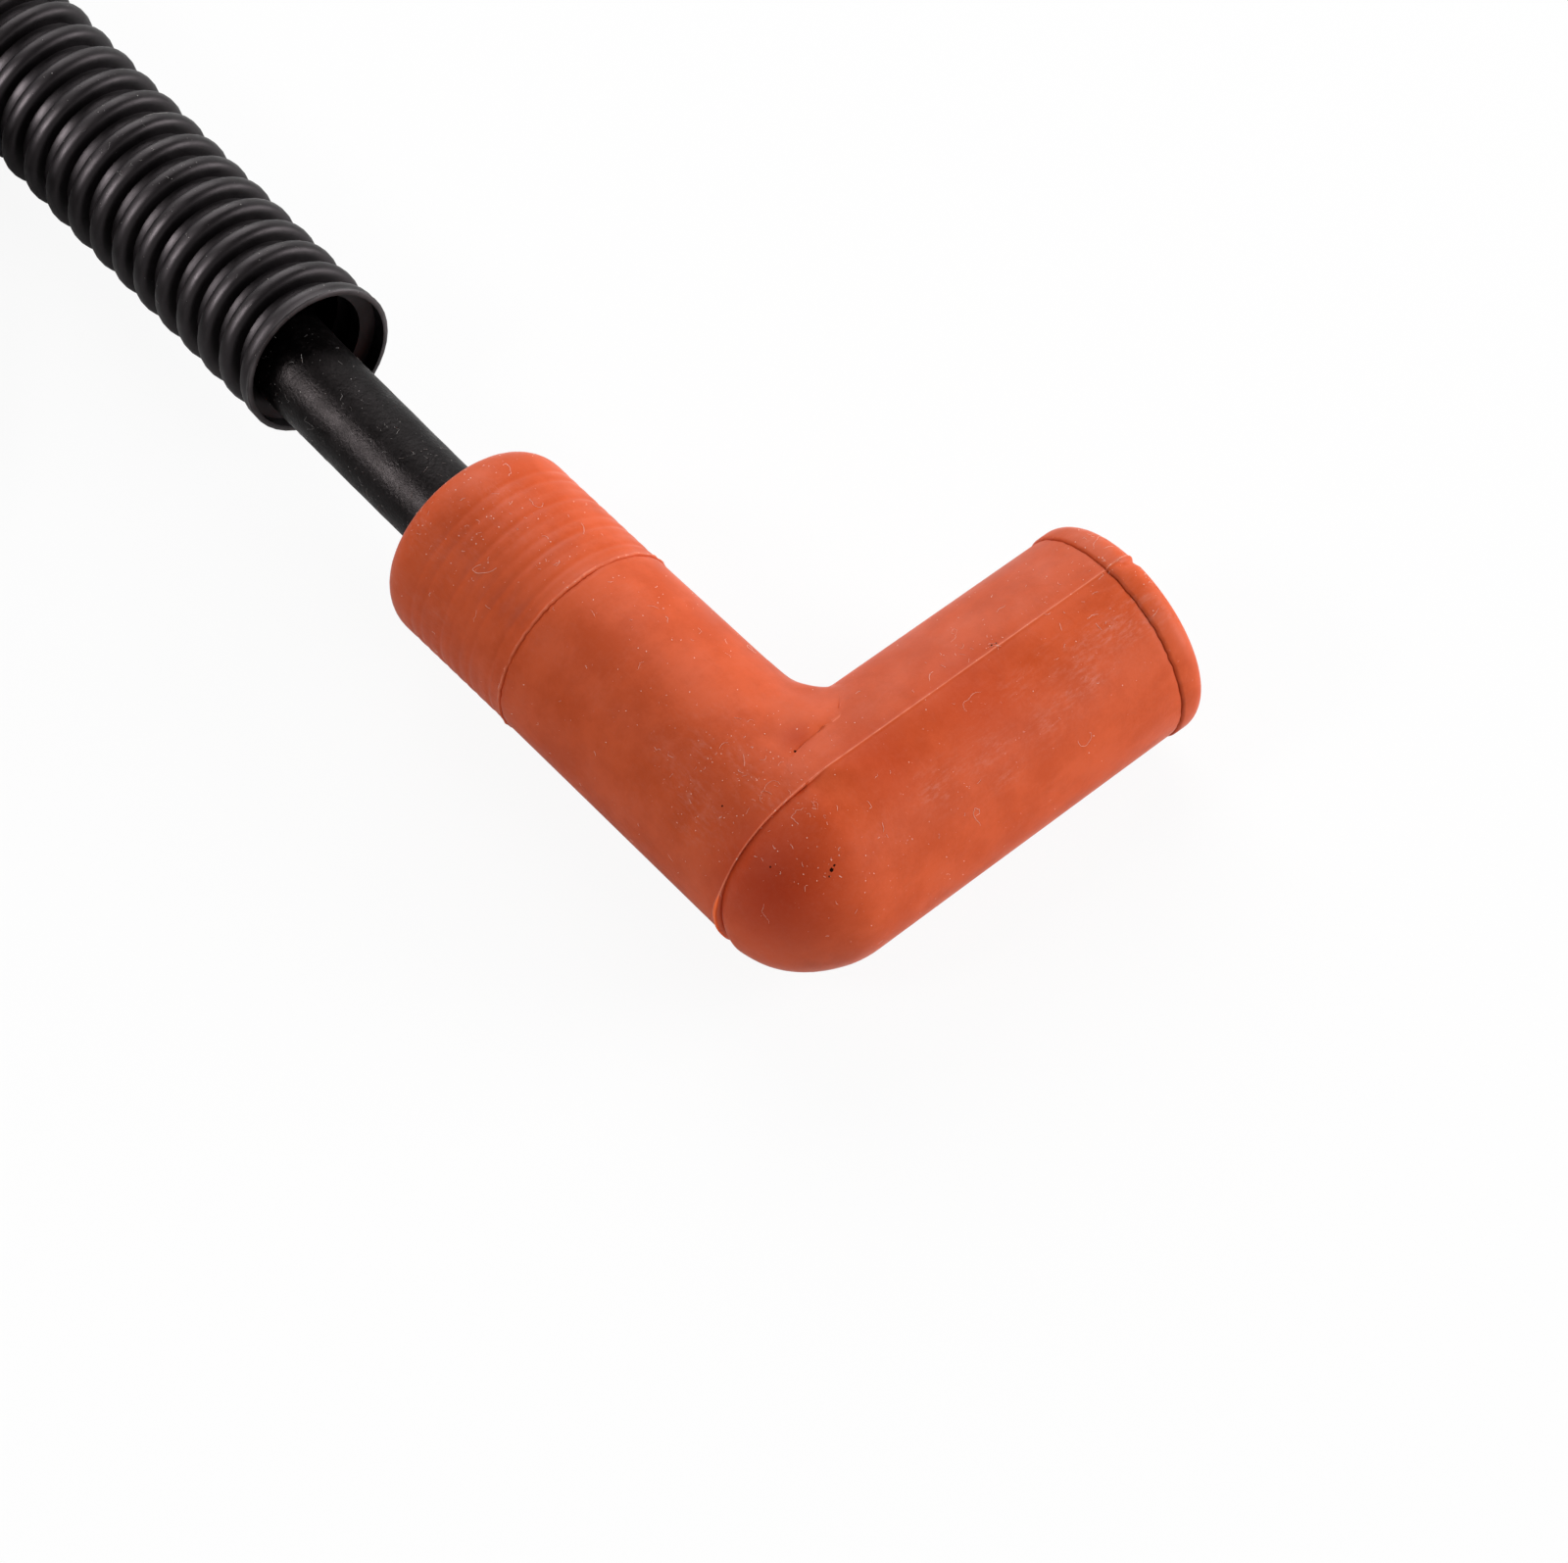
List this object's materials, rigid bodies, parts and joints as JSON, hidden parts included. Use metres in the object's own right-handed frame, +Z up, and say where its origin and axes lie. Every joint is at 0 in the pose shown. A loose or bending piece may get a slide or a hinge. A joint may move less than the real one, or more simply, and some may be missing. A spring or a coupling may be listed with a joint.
{
  "type": "spark plug wire",
  "caption": "Ignition lead: black silicone cable in a corrugated loom, with a right-angle and a straight orange silicone boot over snap terminals, wound in one flat turn.",
  "frame": {"origin": "on the surface that the lead lies on, under the middle of the right-angle boot's box", "axes": "+X along the socket arm of the right-angle boot towards its mouth, +Y along its cable arm towards the cable, +Z up"},
  "size_m": [0.1895, 0.2333, 0.02],
  "materials": {
    "orange_silicone": "matte moulded silicone with a fine bloom and lint",
    "black_silicone": "satin extruded silicone",
    "loom_plastic": "satin corrugated nylon",
    "tie_plastic": "satin nylon",
    "terminal_brass": "plated sheet, satin",
    "spring_steel": "drawn wire"
  },
  "bodies": {
    "root": {"elbow_boot": "orange_silicone", "elbow_terminal": "terminal_brass", "elbow_terminal_spring": "spring_steel", "plug_boot": "orange_silicone", "plug_terminal": "terminal_brass", "plug_terminal_spring": "spring_steel", "cable_front": "black_silicone", "cable_loop": "black_silicone", "cable_tail": "black_silicone", "loom_front": "loom_plastic", "loom_loop": "loom_plastic", "coil_tie": "tie_plastic"}
  },
  "joints": []
}
